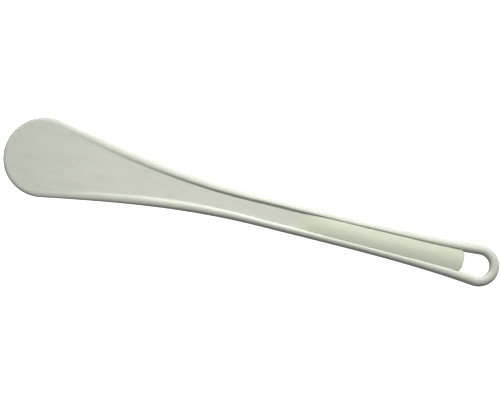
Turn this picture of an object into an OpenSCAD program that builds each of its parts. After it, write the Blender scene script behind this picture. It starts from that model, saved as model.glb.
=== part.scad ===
// Moulded kitchen spatula. A thin flat blade with a round tip narrows into a web, which lies
// between two rods. The rods start as low beads on the blade's edges, rise into round rods
// along the handle and turn round its end as a hanging loop. A crowned grip panel lies in a
// shallow seat on each face of the web.
// The shapes are drawn from the centre of the round tip, which is x = 0, with the blade's
// middle plane at z = 0. place() then puts the origin under the middle of the spatula.

/* [Overall] */
// Length from the blade's tip to the end of the hanging loop
overall_length = 300; // [270:1:400]

/* [Blade] */
// Width that the blade's flanks reach beside the centre of the round tip
blade_w = 48.7; // [40:0.1:60]
// Thickness of the blade and of the web
blade_t = 2.8; // [2:0.1:3.6]
// Length over which the blade narrows to the waist
taper_len = 132; // [100:1:140]

/* [Handle] */
// Width of the handle at its waist
waist_w = 17.8; // [15:0.1:20]
// Width of the handle where the hanging loop begins to turn
loop_w = 24.6; // [21:0.1:27]
// Length over which the handle widens towards the loop
flare_len = 103; // [80:1:110]

/* [Rim rod] */
// Half the width of the low bead along the blade's edge, which the tip's edge shares
bead_half_w = 3; // [2.5:0.1:4]
// Length over which the bead rises into the round rod
swell_len = 128; // [80:1:140]
// Half the width of the rod along the handle
side_rod_half_w = 2.15; // [2:0.05:3]
// Half the height of the rod along the handle
side_rod_half_h = 2.7; // [2.2:0.05:3]
// Radius of the rod round the hanging loop
loop_rod_r = 2.95; // [2.6:0.05:3.6]
// Length over which the rod turns from the handle's size to the loop's
thicken_len = 58; // [30:1:80]
// Length of the opening inside the loop
opening_len = 15.5; // [12:0.5:22]

/* [Grip panels] */
// Length of a grip panel
panel_len = 103; // [80:1:110]
// Length over which a panel rises out of the web
panel_ramp_len = 24; // [10:1:40]
// Depth of a panel's side edges below the top of the rods
panel_edge_drop = 0.8; // [0.7:0.05:1]
// Height of a panel's crown over its side edges
panel_crown_h = 0.7; // [0.2:0.05:0.7]
// Radius of the corners beside the loop's opening
corner_r = 3.2; // [1:0.1:4]
// Depth of the seat that holds a panel
seat_depth = 0.3; // [0.2:0.05:0.5]
// Gap between a panel's sides and the rod
seat_gap = 0.05; // [0.02:0.01:0.1]

/* [Hidden] */

ivory = [0.80, 0.81, 0.75];
warm_ivory = [0.80, 0.81, 0.72];

$fn = 96;
// Steps along each side rod, round the loop, and from the outer to the inner side of the
// rod's own section
side_steps = 42;
loop_steps = 24;
section_steps = 11;
// The side's steps are closest together at the blade, where the bead begins
side_spacing = 1.5;
// How the bead's height and its width ease into the round rod's
rise_power = 1.5;
narrow_power = 3;
// Rows along a panel, columns across it, and steps round a corner
panel_rows = 34;
panel_columns = 12;
corner_steps = 6;
// Steps round the section of the tip's edge
tip_edge_steps = 14;
// Length over which the rod's section turns from flat-sided to round
blend_len = 0.5;
// Height of a panel's side edges over the web where its ramp begins
panel_lip_h = 0.05;
// Radius that softens a panel's end edge
end_edge_r = 0.6;

half_t = blade_t / 2;
taper_half = (blade_w - waist_w) / 2;
flare_half = (loop_w - waist_w) / 2;
// Slope of the side where it leaves the round tip, and where the loop begins
tip_slope = taper_half * PI / 2 / taper_len;
loop_slope = 3 * flare_half / flare_len;
tip_angle = atan(tip_slope);
loop_angle = atan(loop_slope);

tip_r = blade_w / 2 * cos(tip_angle);
end_x = overall_length - tip_r;
side_x = tip_r * sin(tip_angle);
loop_x = end_x - loop_w / 2 * (loop_slope + 1 / cos(loop_angle));
loop_centre_x = loop_x + loop_w / 2 * loop_slope;
loop_centreline_r = loop_w / 2 / cos(loop_angle) - loop_rod_r;
flare_x = loop_x - flare_len;
thicken_x = loop_x - thicken_len;
// Where the web ends at the opening, where its corners begin, and where the panels begin
web_end_x = end_x - 2 * loop_rod_r - opening_len;
corner_x = web_end_x - corner_r;
panel_x = web_end_x - panel_len;

function limited(t) = max(0, min(1, t));
function smooth(t) = t * t * (3 - 2 * t);
function mirrored(points) = [for (i = [len(points) - 1:-1:0]) [points[i].x, -points[i].y]];

// Half the spatula's width at x, and the slope of its side there
function half_width(x) = waist_w / 2
    + taper_half * (1 - sin(90 * limited(x / taper_len)))
    + flare_half * pow(limited((x - flare_x) / flare_len), 3);
function slope(x) = loop_slope * pow(limited((x - flare_x) / flare_len), 2)
    - tip_slope * cos(90 * limited(x / taper_len));
function outward(x) = [-slope(x), 1] / sqrt(1 + slope(x) * slope(x));

// Half the side rod's width and half its height at x, and its centre there
function rod_size(x) = let (
    swell = limited((x - side_x) / swell_len),
    into_loop = smooth(limited((x - thicken_x) / thicken_len)),
    half_w = bead_half_w + (side_rod_half_w - bead_half_w) * pow(swell, narrow_power),
    half_h = half_t + (side_rod_half_h - half_t) * pow(sin(90 * swell), rise_power)
) [
    half_w + (loop_rod_r - side_rod_half_w) * into_loop,
    half_h + (loop_rod_r - side_rod_half_h) * into_loop
];
function rod_centre(x) = [x, half_width(x)] - rod_size(x).x * outward(x);

// Distance from a rod's centre to its inner side at height z, and the point there at x
function reach(size, z) = size.x * sqrt(max(0, 1 - pow(z / size.y, 2)));
function rod_inside(x, z) = rod_centre(x) - reach(rod_size(x), z) * outward(x);

side_stations = [
    for (i = [0:side_steps]) side_x + (web_end_x - side_x) * pow(i / side_steps, side_spacing)
];
corner_turns = [for (i = [1:corner_steps]) 90 * i / corner_steps];

// The rod's section from its outer side, clockwise as seen from the loop: x is outward and
// y is up. It is an ellipse, and a flat one is cut off where it meets the web's side.
function section(size, flat) = let (
    last = flat ? 180 - asin(half_t / size.y) : 180 * section_steps / (section_steps + 1),
    step = last / section_steps
) concat(
    [for (i = [0:section_steps]) [size.x * cos(i * step), -size.y * sin(i * step)]],
    [[flat ? -reach(size, half_t) : -size.x, 0]],
    [for (i = [section_steps:-1:1]) [size.x * cos(i * step), size.y * sin(i * step)]]
);
function ring(centre, out, size, flat) = [
    for (p = section(size, flat)) [centre.x + p.x * out.x, centre.y + p.x * out.y, p.y]
];
function side_ring(x, side, flat) = let (centre = rod_centre(x), out = outward(x))
    ring([centre.x, side * centre.y], [out.x, side * out.y], rod_size(x), flat);
function loop_ring(a) = let (out = [cos(a), sin(a)])
    ring([loop_centre_x, 0] + loop_centreline_r * out, out, [loop_rod_r, loop_rod_r], false);

// Faces of a solid lofted through rings of the same number of points
function loft_faces(rings, n) = concat(
    [[for (k = [n - 1:-1:0]) k]],
    [for (i = [0:rings - 2], k = [0:n - 1]) let (a = i * n, b = a + n, l = (k + 1) % n)
        [a + k, a + l, b + l, b + k]],
    [[for (k = [0:n - 1]) (rings - 1) * n + k]]
);
module loft(rings) {
    polyhedron([for (r = rings) each r], loft_faces(len(rings), len(rings[0])));
}

// Height of a panel's side edges over the middle plane at x, and of its top at y across
function panel_ramp(x) = smooth(limited((x - panel_x) / panel_ramp_len));
function panel_edge_z(x) = half_t + panel_lip_h
    + (rod_size(x).y - panel_edge_drop - half_t - panel_lip_h) * panel_ramp(x);
function panel_top_z(x, y) = let (into_end = limited((x - web_end_x) / end_edge_r + 1))
    panel_edge_z(x)
    + panel_crown_h * panel_ramp(x) * (1 - pow(y / rod_inside(x, panel_edge_z(x)).y, 2))
    - end_edge_r * (1 - sqrt(1 - into_end * into_end));
// Half a panel's width at x and at height z, which the corners take in beside the opening
function panel_half_width(x, z) =
    let (into_corner = limited((x - corner_x) / corner_r), side_x = min(x, corner_x))
    rod_inside(side_x, z).y - seat_gap - corner_r * (1 - sqrt(1 - into_corner * into_corner));
function panel_ring(x) = let (
    foot = panel_half_width(x, half_t),
    top = panel_half_width(x, panel_edge_z(min(x, corner_x)))
) concat(
    [[x, -foot, half_t - seat_depth], [x, -foot, half_t]],
    [for (i = [0:panel_columns]) let (y = top * (2 * i / panel_columns - 1))
        [x, y, panel_top_z(x, y)]],
    [[x, foot, half_t], [x, foot, half_t - seat_depth]]
);

module place() {
    translate([tip_r - overall_length / 2, 0, max(loop_rod_r, side_rod_half_h)]) children();
}

// The part of the blade inside the round tip, with an edge rounded like the beads
module round_tip() {
    edge = [for (i = [0:tip_edge_steps]) let (a = 180 * i / tip_edge_steps - 90)
        [tip_r - bead_half_w * (1 - cos(a)), half_t * sin(a)]];
    rotate_extrude(start = 90 - tip_angle, angle = 180 + 2 * tip_angle)
        polygon(concat([[0, half_t], [0, -half_t]], edge));
}

// The plate between the rods, from inside the round tip to the loop's opening
module web_plate() {
    edge = [for (x = side_stations) if (x < corner_x) rod_inside(x, half_t)];
    corner_y = rod_inside(corner_x, half_t).y;
    corner = concat([[corner_x, corner_y]], [for (a = corner_turns)
        [corner_x + corner_r * sin(a), corner_y - corner_r * (1 - cos(a))]]);
    one_side = concat([[-tip_r / 2, 0]], edge, corner);
    linear_extrude(height = blade_t, center = true)
        polygon(concat(one_side, mirrored(one_side)));
}

// What a panel's seat takes out of the web's front face
module panel_seat() {
    translate([panel_x, -loop_w / 2, half_t - seat_depth])
        cube([panel_len + 1, loop_w, 2 * seat_depth]);
}

module blade_web() {
    color(ivory)
        place()
        difference() {
            union() {
                round_tip();
                web_plate();
            }
            panel_seat();
            mirror([0, 0, 1]) panel_seat();
        }
}

module rim_rod() {
    round_stations = [web_end_x + blend_len, (web_end_x + blend_len + loop_x) / 2];
    loop_turn = 90 + loop_angle;
    color(ivory)
        place()
        loft(concat(
            [for (x = side_stations) side_ring(x, 1, true)],
            [for (x = round_stations) side_ring(x, 1, false)],
            [for (i = [0:loop_steps]) loop_ring(loop_turn * (1 - 2 * i / loop_steps))],
            [for (i = [len(round_stations) - 1:-1:0]) side_ring(round_stations[i], -1, false)],
            [for (i = [side_steps:-1:0]) side_ring(side_stations[i], -1, true)]
        ));
}

module grip_panel() {
    straight_rows = [
        for (i = [0:panel_rows]) panel_x + (corner_x - panel_x) * i / panel_rows
    ];
    corner_rows = [for (a = corner_turns) corner_x + corner_r * sin(a)];
    loft([for (x = concat(straight_rows, corner_rows)) panel_ring(x)]);
}

module front_grip_panel() {
    color(warm_ivory) place() grip_panel();
}

module back_grip_panel() {
    color(warm_ivory) place() mirror([0, 0, 1]) grip_panel();
}

blade_web();
rim_rod();
front_grip_panel();
back_grip_panel();
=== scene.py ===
"""Looks for the moulded mixing spatula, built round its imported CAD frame.

The outline follows the same rules as the CAD model. Lengths inside the shape functions are in
millimetres: x runs from the centre of the round tip towards the hanging loop, y across the
spatula and z up from the blade's middle plane. make_piece() moves the points into the CAD frame,
in metres. Only the side with y over 0 is worked out, and the other side is its mirror image.
"""

import math

import bmesh
import bpy
from mathutils import Matrix, Vector


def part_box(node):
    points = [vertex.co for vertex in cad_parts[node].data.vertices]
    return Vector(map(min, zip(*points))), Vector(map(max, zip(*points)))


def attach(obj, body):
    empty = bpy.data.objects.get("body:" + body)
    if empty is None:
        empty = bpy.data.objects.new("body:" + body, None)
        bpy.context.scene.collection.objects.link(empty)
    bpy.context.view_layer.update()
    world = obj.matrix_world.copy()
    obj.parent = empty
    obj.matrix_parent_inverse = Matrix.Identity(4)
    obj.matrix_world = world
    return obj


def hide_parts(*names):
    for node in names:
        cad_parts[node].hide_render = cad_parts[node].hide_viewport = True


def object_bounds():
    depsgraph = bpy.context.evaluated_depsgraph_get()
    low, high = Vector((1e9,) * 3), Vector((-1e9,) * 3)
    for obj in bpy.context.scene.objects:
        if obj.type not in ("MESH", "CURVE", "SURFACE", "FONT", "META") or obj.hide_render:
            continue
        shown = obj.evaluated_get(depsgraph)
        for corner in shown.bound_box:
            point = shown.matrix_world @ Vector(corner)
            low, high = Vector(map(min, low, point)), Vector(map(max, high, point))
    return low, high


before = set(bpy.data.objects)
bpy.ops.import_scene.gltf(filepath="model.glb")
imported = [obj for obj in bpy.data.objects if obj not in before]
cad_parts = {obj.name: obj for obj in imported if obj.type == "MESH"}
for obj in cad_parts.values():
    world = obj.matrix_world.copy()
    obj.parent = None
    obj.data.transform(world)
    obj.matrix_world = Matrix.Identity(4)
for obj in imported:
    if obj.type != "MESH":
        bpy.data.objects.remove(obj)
cad_low, cad_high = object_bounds()

MM = 0.001

# ---------------------------------------------------------------- driving dimensions, in mm

# Outline: the taper from the blade to the waist, and the flare from the waist to the loop
BLADE_W = 48.7
TAPER_LEN = 132.0
WAIST_W = 17.8
LOOP_W = 24.6
FLARE_LEN = 103.0

# Rods: a low wide bead at the blade's shoulders, a slim rod along the handle, thicker in the loop
BEAD_HALF_W = 3.0
SWELL_LEN = 128.0
SIDE_ROD_HALF_W = 2.15
SIDE_ROD_HALF_H = 2.7
THICKEN_LEN = 58.0
RISE_POWER = 1.5
NARROW_POWER = 3.0
CREST_SHIFT = (0.58, 0.25)  # how far the crest leans inwards, along the handle and in the loop

# Mould's parting line round the outer edge: its height, and its angles from the middle plane
RIDGE_H = 0.015
RIDGE_ANGLES = [0, 1.2, 2.6]

# Blade and web
TIP_EDGE_W = 2.1  # width of the tip's rounded edge
BEAD_START_DEG = 125  # where round the tip that edge starts to widen into the bead
CORNER_R = 3.2
WEB_EDGE_R = 0.35
# The fillet from the web up the rod, with pairs for the shoulder and the handle
FILLET_RISE = (0.45, 0.3)  # how far up the rod it climbs, as a share of the rod's height
FILLET_REACH = (2.4, 1.0)  # its length on the web over its length beyond the web's face
# The web's edge inside the rod, as shares of the way to the rod's middle and of the rise
HIDDEN_IN = (0.25, 0.3)
HIDDEN_Z = 0.6

# Grip panels, with pairs for their start and their end
PANEL_RAMP_LEN = 24.0
PANEL_DROP = (0.52, 1.0)  # side edges below the top of the rods
PANEL_CROWN_H = (0.72, 0.98)
PANEL_EDGE_R = 0.35
END_EDGE_R = 0.7  # the edge beside the loop is rounder than the side edges
END_BOW = 0.35  # how far the corners of that end lie behind its middle
PANEL_EMBED = 0.12  # how far the sides run into the rods
PANEL_SKIRT = 0.25  # how far the underside runs into the web
PANEL_SINK = 0.03  # how far the start of the ramp lies under the web's face
SKIRT_INSET = 0.1  # how far the underside's rim lies inside the sides
START_HUB_INSET = 3.0  # where the ribs of the start meet on the centre line

# Measures that the frame gives
web_low, web_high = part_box("blade_web")
panel_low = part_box("front_grip_panel")[0]
LENGTH = (cad_high.x - cad_low.x) / MM
TIP_R = (web_high.y - web_low.y) / 2 / MM
HALF_T = (web_high.z - web_low.z) / 2 / MM
LOOP_ROD_R = (cad_high.z - cad_low.z) / 2 / MM
MIDDLE = Vector((cad_low.x + TIP_R * MM, 0, (cad_low.z + cad_high.z) / 2))
WEB_END_X = (web_high.x - MIDDLE.x) / MM
PANEL_X = (panel_low.x - MIDDLE.x) / MM
CORNER_X = WEB_END_X - CORNER_R

# Where the tip's circle and the loop's circle run into the sides
TAPER_HALF = (BLADE_W - WAIST_W) / 2
FLARE_HALF = (LOOP_W - WAIST_W) / 2
TIP_SLOPE = TAPER_HALF * math.pi / 2 / TAPER_LEN
LOOP_SLOPE = 3 * FLARE_HALF / FLARE_LEN
TIP_ANGLE = math.atan(TIP_SLOPE)
LOOP_ANGLE = math.atan(LOOP_SLOPE)
SIDE_X = TIP_R * math.sin(TIP_ANGLE)
LOOP_X = LENGTH - TIP_R - LOOP_W / 2 * (LOOP_SLOPE + 1 / math.cos(LOOP_ANGLE))
LOOP_CENTRE_X = LOOP_X + LOOP_W / 2 * LOOP_SLOPE
LOOP_CENTRELINE_R = LOOP_W / 2 / math.cos(LOOP_ANGLE) - LOOP_ROD_R

# Mesh fineness: stations along or round the spatula, and points over each section
SIDE_STATIONS = 170
STATION_POWER = 1.3  # closer stations at the shoulder, where the rod grows fastest
LOOP_STEPS = 72
TIP_STEPS = 56
WEB_CORNER_STEPS = 8
PANEL_STATIONS = 64
PANEL_CORNER_STEPS = 10
STRAIGHT_END_STEPS = 6
ROD_STEPS = 22
EDGE_STEPS = 9
PANEL_EDGE_STEPS = 6
PANEL_TOP_STEPS = 8
WEB_TOP_STEPS = 6
SUPPORT = 0.25  # a last ring on the flat, which keeps the rounding's shading off the face

# ------------------------------------------------------------------------ outline functions


def limited(t):
    return max(0.0, min(1.0, t))


def smooth(t):
    return t * t * (3 - 2 * t)


def mixed(a, b, t):
    return a + (b - a) * t


def spaced(start, end, steps, power=1.0):
    return [mixed(start, end, (i / steps) ** power) for i in range(steps + 1)]


def along_sides(x):
    """0 at the blade's shoulder, 1 where the rod has grown to its full height."""
    return limited((x - SIDE_X) / SWELL_LEN)


def into_loop(x):
    """0 along the handle, 1 where the loop starts."""
    return smooth(limited((x - LOOP_X) / THICKEN_LEN + 1))


def half_width(x):
    taper = 1 - math.sin(math.pi / 2 * limited(x / TAPER_LEN))
    flare = limited((x - LOOP_X) / FLARE_LEN + 1) ** 3
    return WAIST_W / 2 + TAPER_HALF * taper + FLARE_HALF * flare


def outward(x):
    """Direction that points out of the side at x."""
    taper = TIP_SLOPE * math.cos(math.pi / 2 * limited(x / TAPER_LEN))
    flare = LOOP_SLOPE * limited((x - LOOP_X) / FLARE_LEN + 1) ** 2
    return Vector((taper - flare, 1)).normalized()


def rod_size(x):
    """Half the rod's width and half its height at x."""
    swell = along_sides(x)
    half_w = mixed(BEAD_HALF_W, SIDE_ROD_HALF_W, swell**NARROW_POWER)
    half_h = mixed(HALF_T, SIDE_ROD_HALF_H, math.sin(math.pi / 2 * swell) ** RISE_POWER)
    return (
        half_w + (LOOP_ROD_R - SIDE_ROD_HALF_W) * into_loop(x),
        half_h + (LOOP_ROD_R - SIDE_ROD_HALF_H) * into_loop(x),
    )


def rod_centre(x):
    return Vector((x, half_width(x))) - rod_size(x)[0] * outward(x)


def crest_shift(x):
    """How far the rod's crest lies inside the middle of its width."""
    return along_sides(x) * mixed(*CREST_SHIFT, into_loop(x))


def rod_inside(x, z):
    """Point of the rod's inner side at x, at height z."""
    half_w, half_h = rod_size(x)
    shift = crest_shift(x)
    across = math.sqrt(max(0, 1 - (z / half_h) ** 2))
    return rod_centre(x) - (shift + (half_w - shift) * across) * outward(x)


# ------------------------------------------------------------------------------ mesh making

WELD_DIST = 0.002 * MM
NO_LENGTH = 0.001 * MM


def make_piece(name, points, faces, material, sharp_deg=50):
    """A smooth-shaded mesh piece from points in mm about the tip's centre."""
    mesh = bpy.data.meshes.new(name)
    mesh.from_pydata([MIDDLE + Vector(p) * MM for p in points], [], faces)
    bm = bmesh.new()
    bm.from_mesh(mesh)
    bmesh.ops.remove_doubles(bm, verts=bm.verts, dist=WELD_DIST)
    bmesh.ops.dissolve_degenerate(bm, edges=bm.edges, dist=NO_LENGTH)
    bmesh.ops.recalc_face_normals(bm, faces=bm.faces)
    for face in bm.faces:
        face.smooth = True
    for edge in bm.edges:
        edge.smooth = edge.calc_face_angle(0) < math.radians(sharp_deg)
    bm.to_mesh(mesh)
    bm.free()
    mesh.materials.append(material)
    piece = bpy.data.objects.new(name, mesh)
    bpy.context.scene.collection.objects.link(piece)
    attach(piece, "root")
    return piece


def tube(rings):
    """Points and faces of a closed-ended tube through rings of the same number of points."""
    n = len(rings[0])
    faces = []
    for start in range(0, (len(rings) - 1) * n, n):
        for k in range(n):
            m = (k + 1) % n
            faces.append((start + k, start + m, start + n + m, start + n + k))
    faces.append(tuple(range(n - 1, -1, -1)))
    faces.append(tuple(range((len(rings) - 1) * n, len(rings) * n)))
    return [p for ring in rings for p in ring], faces


def shell(ribs):
    """Points and faces of a closed shell through ribs, the last of which meets the first."""
    n = len(ribs[0])
    faces = []
    for i in range(len(ribs)):
        start, after = i * n, (i + 1) % len(ribs) * n
        for k in range(n - 1):
            faces.append((start + k, start + k + 1, after + k + 1, after + k))
    return [p for rib in ribs for p in rib], faces


def at_angle(angle):
    return Vector((math.cos(angle), math.sin(angle)))


def both_sides(stations):
    """(hub, foot, out, edge) stations of one side, then of the other side in reverse order."""
    flip = Vector((1, -1))
    other = []
    for hub, foot, out, edge in reversed(stations):
        other.append((hub * flip, foot * flip, out * flip, edge))
    return stations + other


# ---------------------------------------------------------------------------------- rim rod


def rod_angles():
    """Angles round the rod's section from its outer side, closer at the parting line."""
    round_part = spaced(RIDGE_ANGLES[-1], 180, ROD_STEPS)[1:]
    half = [math.radians(a) for a in RIDGE_ANGLES + round_part]
    return half + [2 * math.pi - a for a in reversed(half[1:-1])]


def ridge(angle):
    """Height of the mould's parting line over the section at an angle from its outer side."""
    from_line = abs(math.degrees(math.remainder(angle, 2 * math.pi)))
    half_way = (RIDGE_ANGLES[-2] + RIDGE_ANGLES[-1]) / 2
    return RIDGE_H if from_line < half_way else 0.0


def rod_ring(centre, out, size, shift):
    """The rod's section: two half ellipses that meet at its crest, inside the middle by shift."""
    half_w, half_h = size
    ring = []
    for angle in rod_angles():
        reach = half_w + ridge(angle) + (shift if math.cos(angle) > 0 else -shift)
        p = centre + (reach * math.cos(angle) - shift) * out
        ring.append((p.x, p.y, -half_h * math.sin(angle)))
    return ring


def rim_rod(material):
    """One rod up one side from the blade's shoulder, round the loop and down the other side."""
    near = []
    for x in spaced(SIDE_X, LOOP_X, SIDE_STATIONS, STATION_POWER):
        near.append(rod_ring(rod_centre(x), outward(x), rod_size(x), crest_shift(x)))
    turn = math.pi / 2 + LOOP_ANGLE
    loop = []
    for angle in spaced(turn, -turn, LOOP_STEPS)[1:-1]:
        out = at_angle(angle)
        centre = Vector((LOOP_CENTRE_X, 0)) + LOOP_CENTRELINE_R * out
        loop.append(rod_ring(centre, out, (LOOP_ROD_R, LOOP_ROD_R), crest_shift(LOOP_X)))
    far = [[(x, -y, z) for x, y, z in ring] for ring in reversed(near)]
    points, faces = tube(near + loop + far)
    return make_piece("rim_rod_moulded", points, faces, material)


# -------------------------------------------------------------------------------- blade web


def side_profile(x):
    """The web's face, the fillet that carries it up the rod, and its hidden edge in the rod.

    Each of the web's three profiles is EDGE_STEPS + 1 points (u, z) from its inner end to the
    middle plane, with u pointing outwards.
    """
    half_w, half_h = rod_size(x)
    swell = along_sides(x)
    shift = crest_shift(x)
    inner_w = half_w - shift

    # The fillet is a curve from the web's face over a knee, to where it meets the rod
    meet_z = mixed(HALF_T, half_h, mixed(*FILLET_RISE, swell))
    theta = math.asin(meet_z / half_h)
    meet_u = -shift - inner_w * math.cos(theta)
    steepness = max(1e-6, half_h * math.cos(theta) / (inner_w * math.sin(theta)))
    knee_u = meet_u - (meet_z - HALF_T) / steepness
    reach = math.hypot(meet_u - knee_u, meet_z - HALF_T) * mixed(*FILLET_REACH, swell)
    start = Vector((knee_u - reach, HALF_T))
    knee = Vector((knee_u, HALF_T))
    meet = Vector((meet_u, meet_z))
    curve = []
    for t in spaced(0, 1, EDGE_STEPS - 3):
        curve.append(tuple(start.lerp(knee, t).lerp(knee.lerp(meet, t), t)))

    upper_u, middle_u = (mixed(meet_u, 0, t) for t in HIDDEN_IN)
    hidden = [(upper_u, meet_z * HIDDEN_Z), (middle_u, 0)]
    return [(start.x - SUPPORT, HALF_T)] + curve + hidden


def tip_profile(width):
    """The rounded edge of the blade's tip, which meets the start of the rim rod."""
    steps = EDGE_STEPS - 3
    angles = [math.pi / 2 * (1 - i / steps) for i in range(steps)]
    angles += [math.radians(a) for a in reversed(RIDGE_ANGLES)]
    inside = BEAD_HALF_W - width
    points = [(inside + (width + ridge(a)) * math.cos(a), HALF_T * math.sin(a)) for a in angles]
    return [(inside - SUPPORT, HALF_T)] + points


def end_profile():
    """The web's small rounded edge at the hanging loop's opening."""
    steps = EDGE_STEPS - 1
    arc = []
    for i in range(steps):
        angle = math.pi / 2 * (1 - i / steps)
        u = WEB_EDGE_R * (math.cos(angle) - 1)
        arc.append((u, HALF_T + WEB_EDGE_R * (math.sin(angle) - 1)))
    return [(-WEB_EDGE_R - SUPPORT, HALF_T)] + arc + [(0, 0)]


def web_rib(hub, foot, out, profile):
    """Points from the top of the hub, out over the profile and back under it.

    foot and out are the profile's origin and direction in plan.
    """
    top = [(*(foot + u * out), z) for u, z in profile]
    start = Vector((*hub, top[0][2]))
    inner = [tuple(start.lerp(Vector(top[0]), t)) for t in spaced(0, 1, WEB_TOP_STEPS)[:-1]]
    upper = inner + top
    return upper + [(x, y, -z) for x, y, z in reversed(upper[:-1])]


def blade_web(material):
    """The blade and the web behind it, as ribs round its edge from hubs on the centre line."""
    stations = []
    side_angle = math.pi / 2 - TIP_ANGLE
    bead_start = math.radians(BEAD_START_DEG)
    for angle in spaced(math.pi, side_angle, TIP_STEPS):
        out = at_angle(angle)
        near_side = smooth(limited((bead_start - angle) / (bead_start - side_angle)))
        profile = tip_profile(mixed(TIP_EDGE_W, BEAD_HALF_W, near_side))
        stations.append((Vector((0, 0)), (TIP_R - BEAD_HALF_W) * out, out, profile))

    hub_scale = CORNER_X / (CORNER_X - SIDE_X)
    for x in spaced(SIDE_X, CORNER_X, SIDE_STATIONS, STATION_POWER):
        hub = Vector(((x - SIDE_X) * hub_scale, 0))
        stations.append((hub, rod_centre(x), outward(x), side_profile(x)))

    end_hub = Vector((CORNER_X, 0))
    corner_centre = Vector((CORNER_X, rod_inside(CORNER_X, HALF_T).y - CORNER_R))
    for angle in spaced(math.pi / 2, 0, WEB_CORNER_STEPS):
        out = at_angle(angle)
        stations.append((end_hub, corner_centre + CORNER_R * out, out, end_profile()))
    for y in spaced(corner_centre.y, 0, STRAIGHT_END_STEPS)[1:]:
        stations.append((end_hub, Vector((WEB_END_X, y)), Vector((1, 0)), end_profile()))

    points, faces = shell([web_rib(*station) for station in both_sides(stations)])
    return make_piece("blade_web_moulded", points, faces, material, sharp_deg=60)


# ------------------------------------------------------------------------------- grip panels


def panel_ramp(x):
    return smooth(limited((x - PANEL_X) / PANEL_RAMP_LEN))


def along_panel(x):
    return limited((x - PANEL_X) / (WEB_END_X - PANEL_X))


def panel_edge_z(x):
    top_of_ramp = rod_size(x)[1] - mixed(*PANEL_DROP, along_panel(x) ** 2)
    return mixed(HALF_T - PANEL_SINK, top_of_ramp, panel_ramp(x))


def panel_half_width(x):
    return rod_inside(x, panel_edge_z(x)).y + PANEL_EMBED


def panel_top_z(x, y):
    across = y / panel_half_width(min(x, CORNER_X))
    crown = mixed(*PANEL_CROWN_H, along_panel(x))
    return panel_edge_z(x) + crown * panel_ramp(x) * (1 - across * across)


def rounding(depth, radius):
    """How far a rounded edge has dropped at a depth inside its outline."""
    into = limited(1 - depth / radius)
    return radius * (1 - math.sqrt(1 - into * into))


def panel_rib(hub, foot, out, edge_r):
    """A rib over the crowned top, round the edge and down the skirt into the web."""
    turns = [math.pi / 2 * i / PANEL_EDGE_STEPS for i in range(PANEL_EDGE_STEPS + 1)]
    rim = []
    for depth in [edge_r + SUPPORT] + [edge_r * (1 - math.sin(turn)) for turn in turns]:
        p = foot - depth * out
        rim.append((p.x, p.y, panel_top_z(p.x, p.y) - rounding(depth, edge_r)))
    inner = []
    for i in range(PANEL_TOP_STEPS):
        p = hub.lerp(Vector(rim[0][:2]), i / PANEL_TOP_STEPS)
        inner.append((p.x, p.y, panel_top_z(p.x, p.y)))
    skirt = foot - SKIRT_INSET * out
    skirt_z = HALF_T - PANEL_SKIRT
    return inner + rim + [(*foot, HALF_T), (*skirt, skirt_z), (*hub, skirt_z)]


def grip_panel(name, side, material):
    """The panel on the front (side 1) or on the back (side -1)."""
    stations = []
    start_hub = Vector((PANEL_X + START_HUB_INSET, 0))
    for y in spaced(0, panel_half_width(PANEL_X), STRAIGHT_END_STEPS):
        stations.append((start_hub, Vector((PANEL_X, y)), Vector((-1, 0)), PANEL_EDGE_R))

    for x in spaced(PANEL_X, CORNER_X, PANEL_STATIONS)[1:]:
        hub = Vector((max(start_hub.x, x), 0))
        stations.append((hub, Vector((x, panel_half_width(x))), Vector((0, 1)), PANEL_EDGE_R))

    end_hub = Vector((CORNER_X, 0))
    corner_centre = Vector((CORNER_X, panel_half_width(CORNER_X) - CORNER_R))
    for i, angle in enumerate(spaced(math.pi / 2, 0, PANEL_CORNER_STEPS)):
        out = at_angle(angle)
        foot = corner_centre + CORNER_R * out
        foot.x -= END_BOW * limited(out.x)
        edge_r = mixed(PANEL_EDGE_R, END_EDGE_R, i / PANEL_CORNER_STEPS)
        stations.append((end_hub, foot, out, edge_r))
    for y in spaced(corner_centre.y, 0, STRAIGHT_END_STEPS)[1:]:
        foot = Vector((WEB_END_X - END_BOW * (y / corner_centre.y) ** 2, y))
        stations.append((end_hub, foot, Vector((1, 0)), END_EDGE_R))

    points, faces = shell([panel_rib(*station) for station in both_sides(stations)])
    points = [(x, y, side * z) for x, y, z in points]
    return make_piece(name, points, faces, material, sharp_deg=60)


# -------------------------------------------------------------------------------- materials


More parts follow.
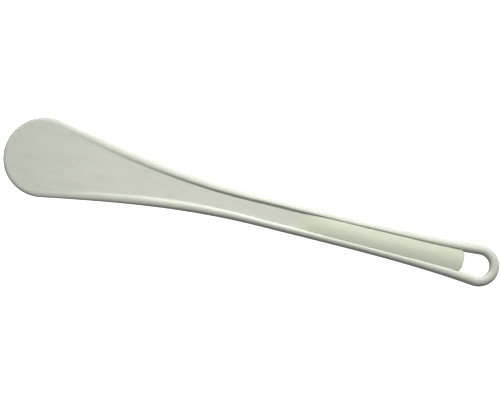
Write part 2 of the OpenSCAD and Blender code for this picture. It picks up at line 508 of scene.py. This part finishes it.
def moulded_plastic(name, dark, light, grain_um):
    """Satin glass-filled plastic: mottled, drawn out along the flow, with a fine moulded grain."""
    material = bpy.data.materials.new(name)
    material.use_nodes = True
    tree = material.node_tree
    nodes = tree.nodes
    link = tree.links.new
    shader = nodes["Principled BSDF"]
    shader.inputs["IOR"].default_value = 1.5
    place = nodes.new("ShaderNodeTexCoord")

    # The melt flowed along the spatula, so its clouds are six times longer than wide
    flow = nodes.new("ShaderNodeMapping")
    flow.inputs["Scale"].default_value = (60, 360, 360)
    link(place.outputs["Object"], flow.inputs["Vector"])
    clouds = nodes.new("ShaderNodeTexNoise")
    clouds.inputs["Scale"].default_value = 1
    clouds.inputs["Detail"].default_value = 4
    clouds.inputs["Roughness"].default_value = 0.6
    link(flow.outputs["Vector"], clouds.inputs["Vector"])
    tint = nodes.new("ShaderNodeValToRGB")
    tint.color_ramp.elements[0].position = 0.3
    tint.color_ramp.elements[0].color = (*dark, 1)
    tint.color_ramp.elements[1].position = 0.7
    tint.color_ramp.elements[1].color = (*light, 1)
    link(clouds.outputs["Fac"], tint.inputs["Fac"])
    link(tint.outputs["Color"], shader.inputs["Base Color"])

    # Glass fibres near the surface leave it between satin and matt
    fibres = nodes.new("ShaderNodeTexNoise")
    fibres.inputs["Scale"].default_value = 900
    fibres.inputs["Detail"].default_value = 3
    link(place.outputs["Object"], fibres.inputs["Vector"])
    gloss = nodes.new("ShaderNodeMapRange")
    gloss.inputs["To Min"].default_value = 0.6
    gloss.inputs["To Max"].default_value = 0.74
    link(fibres.outputs["Fac"], gloss.inputs["Value"])
    link(gloss.outputs["Result"], shader.inputs["Roughness"])
    grain = nodes.new("ShaderNodeBump")
    grain.inputs["Strength"].default_value = 0.5
    grain.inputs["Distance"].default_value = grain_um * 1e-6
    link(fibres.outputs["Fac"], grain.inputs["Height"])
    link(grain.outputs["Normal"], shader.inputs["Normal"])
    return material


# The panels are a little yellower than the rest, with a coarser grain
body_plastic = moulded_plastic("body_plastic", (0.60, 0.62, 0.53), (0.65, 0.67, 0.58), 30)
grip_plastic = moulded_plastic("grip_plastic", (0.60, 0.63, 0.50), (0.65, 0.68, 0.55), 45)

# ----------------------------------------------------------------------------------- pieces

web = blade_web(body_plastic)
rod = rim_rod(body_plastic)
front_panel = grip_panel("front_grip_panel_moulded", 1, grip_plastic)
back_panel = grip_panel("back_grip_panel_moulded", -1, grip_plastic)

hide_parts("blade_web")
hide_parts("rim_rod")
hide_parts("front_grip_panel")
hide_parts("back_grip_panel")

# ------------------------------------------------------------------------- camera and lights

# The camera looks down from nearly overhead, turned so that the handle falls to the right.
# Lengths here are in metres.
VIEW_TURN = math.radians(14.1)
VIEW_ELEVATION = math.radians(83)
VIEW_CENTRE = (-0.00046, 0.00122)
LENS = 90.0
FRAME_W = 0.2945  # width of the view at the spatula
LIGHT_DISTANCE = 1.2
LIGHT_AIM_SHIFT = 0.01  # the lights aim a little towards the loop
FLOOR_HALF = 3.0

image_right = Vector((math.cos(VIEW_TURN), math.sin(VIEW_TURN), 0))
image_up = Vector((-math.sin(VIEW_TURN), math.cos(VIEW_TURN), 0))
zenith = Vector((0, 0, 1))
target = Vector((*VIEW_CENTRE, MIDDLE.z))


def add_camera():
    data = bpy.data.cameras.new("camera")
    data.lens = LENS
    back = zenith * math.sin(VIEW_ELEVATION) - image_up * math.cos(VIEW_ELEVATION)
    up = back.cross(image_right)
    distance = FRAME_W * LENS / data.sensor_width
    camera = bpy.data.objects.new("camera", data)
    axes = Matrix((image_right, up, back)).transposed().to_4x4()
    camera.matrix_world = Matrix.Translation(target + back * distance) @ axes
    bpy.context.scene.collection.objects.link(camera)
    bpy.context.scene.camera = camera


def add_softbox(name, elevation_deg, to_right, size, power, spread_deg):
    """An area light on the spatula's upper side in the view, aimed at the handle."""
    elevation = math.radians(elevation_deg)
    direction = image_up * math.cos(elevation) + zenith * math.sin(elevation)
    direction = (direction + image_right * to_right).normalized()
    data = bpy.data.lights.new(name, "AREA")
    data.shape = "RECTANGLE"
    data.size, data.size_y = size
    data.energy = power
    data.spread = math.radians(spread_deg)
    light = bpy.data.objects.new(name, data)
    light.location = target + image_right * LIGHT_AIM_SHIFT + direction * LIGHT_DISTANCE
    light.rotation_euler = direction.to_track_quat("Z", "Y").to_euler()
    bpy.context.scene.collection.objects.link(light)


def add_floor():
    """A bright white sheet under the spatula that throws no light or reflection on it."""
    half, z = FLOOR_HALF, cad_low.z
    corners = [(-half, -half, z), (half, -half, z), (half, half, z), (-half, half, z)]
    mesh = bpy.data.meshes.new("floor")
    mesh.from_pydata(corners, [], [(0, 1, 2, 3)])
    material = bpy.data.materials.new("white_floor")
    material.use_nodes = True
    shader = material.node_tree.nodes["Principled BSDF"]
    shader.inputs["Base Color"].default_value = (0.9, 0.9, 0.9, 1)
    shader.inputs["Roughness"].default_value = 0.9
    shader.inputs["Emission Color"].default_value = (1, 1, 1, 1)
    shader.inputs["Emission Strength"].default_value = 1.2
    mesh.materials.append(material)
    floor = bpy.data.objects.new("floor", mesh)
    bpy.context.scene.collection.objects.link(floor)
    floor.visible_diffuse = False
    floor.visible_glossy = False


def add_world(strength):
    world = bpy.data.worlds.new("studio")
    world.use_nodes = True
    background = world.node_tree.nodes["Background"]
    background.inputs["Color"].default_value = (1, 1, 1, 1)
    background.inputs["Strength"].default_value = strength
    bpy.context.scene.world = world


add_camera()
add_floor()

# The key's narrow spread lets it fall off towards the tip and the loop, and the low light
# fades the far rod's outer side into the background
add_softbox("key", 43, to_right=0.22, size=(0.35, 0.35), power=0.86, spread_deg=37)
add_softbox("low_rim", 5, to_right=0.1, size=(0.6, 0.06), power=2.8, spread_deg=180)
add_world(0.22)
bpy.context.scene.view_settings.view_transform = "Standard"
